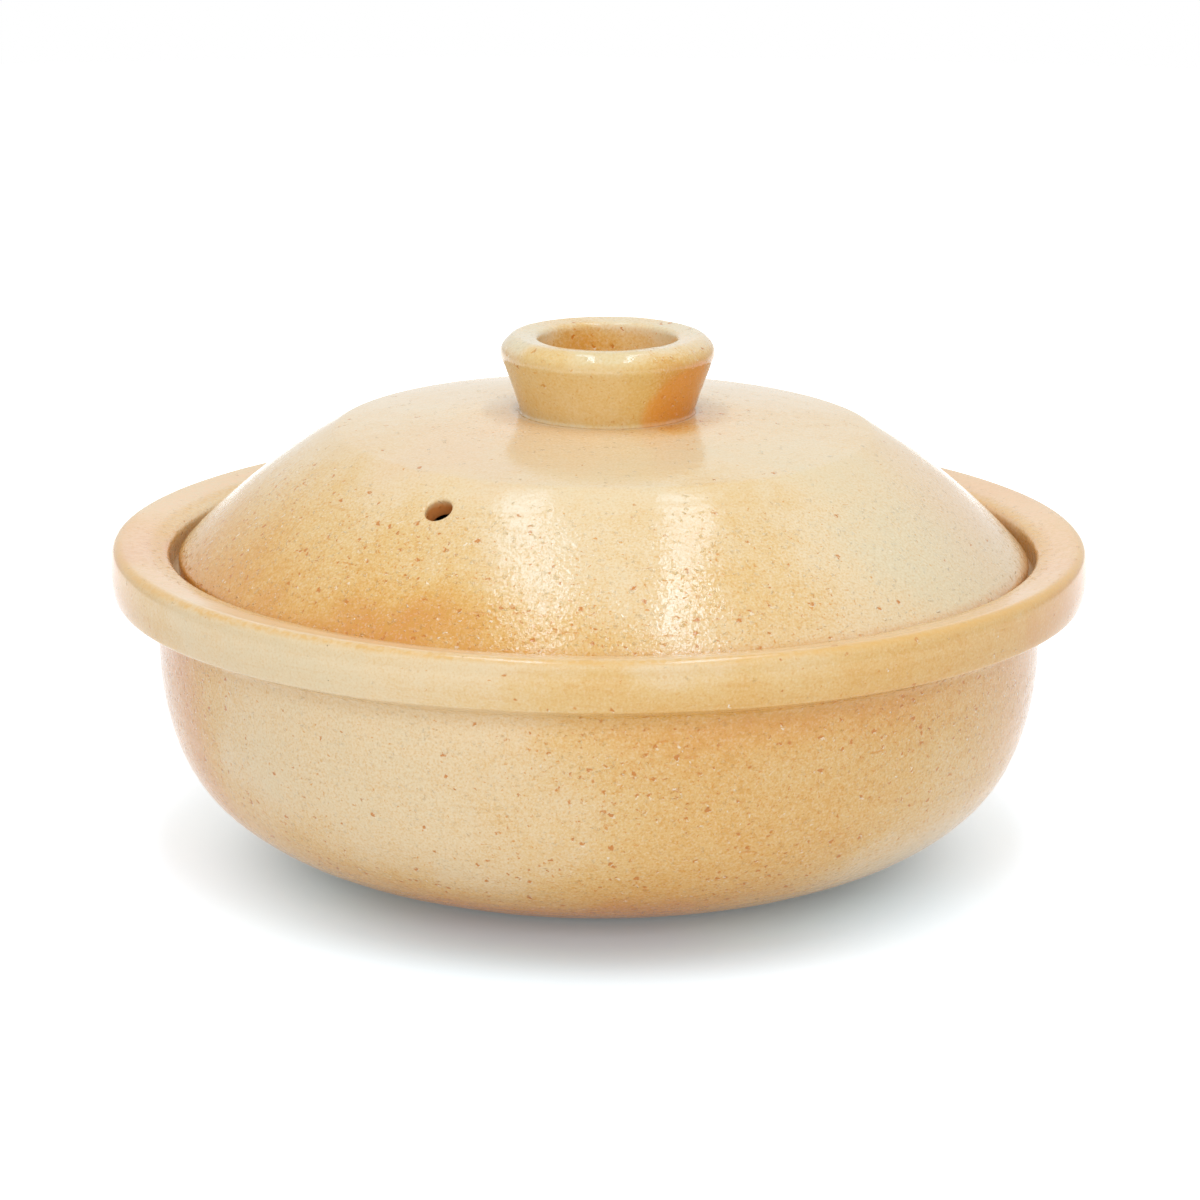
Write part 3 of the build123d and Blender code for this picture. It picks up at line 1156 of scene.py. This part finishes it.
WHITE = (1, 1, 1)
GLEAM = (0.52, 0.77, 1.0)  # the overhead lamps' own colour, which shows in the glaze
BALANCE = (0.44, 0.22, 0.04)  # what a second lamp adds, so that together they light as white
OVERHEAD = 1.6  # height of the overhead lamps
TOE_MIDDLE = -0.17  # the place along Y that a strip is turned about
STRIPS = (  # number, place across and turn in degrees
    (1, -0.305, 4.4),
    (2, 0.385, 0.0),
)
STRIP_PARTS = (  # start and end along Y, width and radiance
    ("near", -0.72, -0.10, 0.15, 9.8),
    ("far", -0.10, 0.42, 0.21, 5.0),
)


def lamp(name, place, aim, size, radiance, turn=0.0, colour=WHITE, glossy=False):
    """A soft rectangular lamp whose face has that radiance, turned about its own aim."""
    data = bpy.data.lights.new(name, "AREA")
    data.shape = "RECTANGLE"
    data.size, data.size_y = size
    data.energy = radiance * math.pi * size[0] * size[1]
    data.color = colour
    light = placed(name, data)
    light.location = place
    light.rotation_euler = (Vector(aim) - Vector(place)).to_track_quat("-Z", "Y").to_euler()
    light.rotation_euler.rotate_axis("Z", turn)
    light.visible_glossy = glossy


def make_lamps():
    """Two long overhead strips that the glaze mirrors, and two soft fills that it doesn't."""
    for side, across, toe in STRIPS:
        turn = math.radians(toe)
        for name, start, end, width, radiance in STRIP_PARTS:
            middle = (start + end) / 2
            place = (across - math.tan(turn) * (middle - TOE_MIDDLE), middle, OVERHEAD)
            aim = (place[0], place[1], 0)
            size = (width, end - start)
            lamp(f"gleam_{name}_{side}", place, aim, size, radiance, turn, GLEAM, glossy=True)
            lamp(f"balance_{name}_{side}", place, aim, size, radiance, turn, BALANCE)
    lamp("top_fill", place=(0, -0.1, 1.9), aim=(0, -0.1, 0), size=(1.3, 1.3), radiance=1.25)
    lamp("front_fill", place=(0.0, -1.7, 0.85), aim=(0, 0, 0.08), size=(2.6, 0.9), radiance=2.1)


FLOOR_RADIUS = 1.6
FLOOR_SIDES = 96
PAINTED_SHADOW_MIDDLE = (0, -0.014, 0)  # the middle of the contact shadow that the floor's dimmed glow paints, a little in front of the foot
PAINTED_SHADOW_SHAPE = (1.08, 1, 1)
PAINTED_SHADOW_EDGE = (0.072, 0.130)  # distances from its middle over which the painted shadow lightens as the glow rises
WHITE_EDGE = (0.20, 0.60)  # over which the floor turns white
TINT_EDGE = (0.08, 0.20)  # over which the cool tint painted into the shadow fades
# a cool tint painted into the floor in the shadow, against the warm light that the pot throws there
PAINTED_SHADOW_TINT = (0.66, 0.83, 1.0, 1)
FLOOR_TINT = (0.855, 0.86, 0.87, 1)
BOUNCE_TINT = (0.88, 0.88, 0.88, 1)  # the floor as the pot sees it
# the floor's glow as it is seen: least in the painted contact shadow, more further out, white far off
GLOW_LEAST, GLOW_NEAR, GLOW_FAR = 0.12, 0.42, 0.5


def seen_rays(graph):
    """1 for rays that look at something and 0 for rays that only light it, and the camera's own."""
    rays = graph.node("LightPath", {}).outputs
    seen = graph.math("MAXIMUM", rays["Is Camera Ray"], rays["Is Glossy Ray"])
    return graph.math("MAXIMUM", seen, rays["Is Transmission Ray"]), rays["Is Camera Ray"]


def make_floor():
    """A wide pale floor that shows white where it isn't in shadow; its glow is dimmed round the foot,
    which paints the contact shadow's falloff over the real shadow.
    """
    material = bpy.data.materials.new("floor_white")
    graph = Graph(material)
    seen, straight = seen_rays(graph)
    place = graph.node("TexCoord", {}).outputs["Object"]
    reach = graph.vector("DISTANCE", graph.vector("MULTIPLY", place, PAINTED_SHADOW_SHAPE), PAINTED_SHADOW_MIDDLE)
    cool = graph.mix(graph.fade(reach, *TINT_EDGE), PAINTED_SHADOW_TINT, FLOOR_TINT)
    tint = graph.mix(straight, BOUNCE_TINT, cool)
    lit = graph.node("BsdfDiffuse", {"Color": tint})
    # the glow rises away from the foot, which paints the contact shadow's edge
    near = graph.times(graph.fade(reach, *PAINTED_SHADOW_EDGE), GLOW_NEAR)
    far = graph.times(graph.fade(reach, *WHITE_EDGE), GLOW_FAR)
    level = graph.add(GLOW_LEAST, near, far)
    glow = graph.node("Emission", {"Strength": graph.times(seen, level)})
    both = graph.node("AddShader", {0: lit.outputs[0], 1: glow.outputs[0]})
    graph.node("OutputMaterial", {0: both.outputs[0]})

    bearings = [i * math.tau / FLOOR_SIDES for i in range(FLOOR_SIDES)]
    ring = [(FLOOR_RADIUS * math.cos(turn), FLOOR_RADIUS * math.sin(turn), 0) for turn in bearings]
    placed_mesh("floor", ring, [range(FLOOR_SIDES)], material)


WORLD_LIGHT = 0.40  # how bright the surroundings are as a lamp


def make_world():
    """White surroundings, dimmer as a lamp than they look."""
    world = bpy.data.worlds.new("studio")
    scene.world = world
    graph = Graph(world)
    seen, _ = seen_rays(graph)
    strength = graph.line(seen, WORLD_LIGHT, 1.0 - WORLD_LIGHT)
    background = graph.node("Background", {"Color": (1, 1, 1, 1), "Strength": strength})
    graph.node("OutputWorld", {0: background.outputs[0]})


CAMERA_PLACE = (0.0002, -1.300, 0.4051)
CAMERA_PITCH = 14.41  # degrees that it looks down
CAMERA_ROLL = 0.22
CAMERA_LENS = 143.67
CAMERA_SENSOR = 36


def make_camera():
    data = bpy.data.cameras.new("camera")
    data.lens = CAMERA_LENS
    data.sensor_width = CAMERA_SENSOR
    camera = placed("camera", data)
    camera.location = CAMERA_PLACE
    camera.rotation_mode = "ZYX"
    camera.rotation_euler = (math.radians(90 - CAMERA_PITCH), 0, math.radians(CAMERA_ROLL))
    scene.camera = camera


make_floor()
make_world()
make_lamps()
make_camera()
scene.view_settings.view_transform = "Standard"
